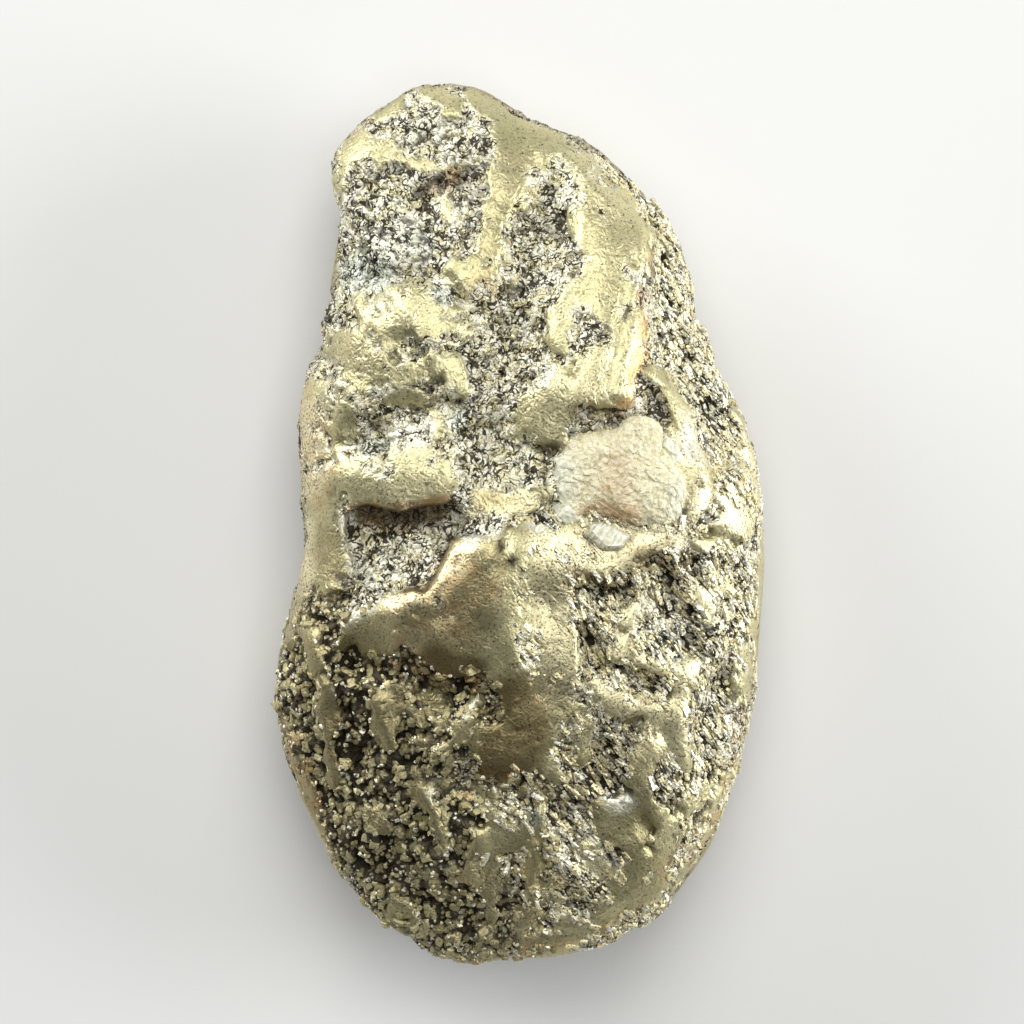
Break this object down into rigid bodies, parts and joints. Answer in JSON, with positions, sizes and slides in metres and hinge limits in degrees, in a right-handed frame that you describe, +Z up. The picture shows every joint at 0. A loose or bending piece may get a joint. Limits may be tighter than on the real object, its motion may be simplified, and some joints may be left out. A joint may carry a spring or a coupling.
{
  "type": "domeykite specimen",
  "caption": "Worn, pitted nugget of pale bronze domeykite with a cream calcite grain and a small calcite flake set in its face.",
  "frame": {"origin": "centre of the bounding box's floor, where the nugget rests on its back", "axes": "+Y along the nugget towards its narrow head, +X across it, +Z up out of its face"},
  "size_m": [0.0278, 0.05, 0.0162],
  "materials": {
    "domeykite_metal": "metallic, pitted, worn",
    "calcite_cream": "granular, dull",
    "calcite_pale": "cleaved, slightly clear"
  },
  "bodies": {
    "root": {"domeykite_nugget": "domeykite_metal", "calcite_lump": "calcite_cream", "calcite_flake": "calcite_pale"}
  },
  "joints": []
}
